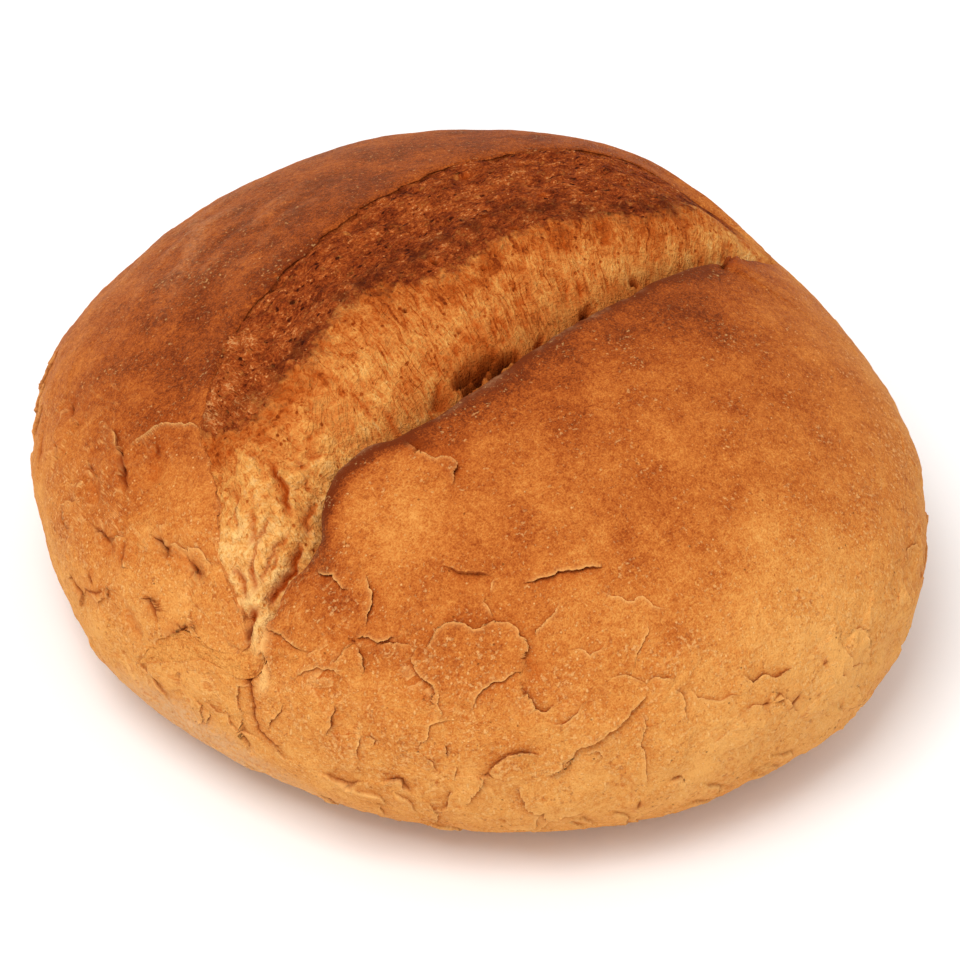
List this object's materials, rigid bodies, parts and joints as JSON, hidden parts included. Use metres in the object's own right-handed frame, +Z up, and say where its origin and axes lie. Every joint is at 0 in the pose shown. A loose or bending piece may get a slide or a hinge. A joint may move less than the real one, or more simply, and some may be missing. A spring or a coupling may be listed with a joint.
{
  "type": "country loaf",
  "caption": "Round uncut country loaf with a burst slash along the top and a flat base.",
  "frame": {"origin": "on the flat base, under the middle of the loaf's bounding box", "axes": "+X along the slash, +Y across it towards the side where the burst stands highest, +Z up"},
  "size_m": [0.2494, 0.2698, 0.1132],
  "materials": {
    "crust": "matte, browned"
  },
  "bodies": {
    "root": {"loaf": "crust"}
  },
  "joints": []
}
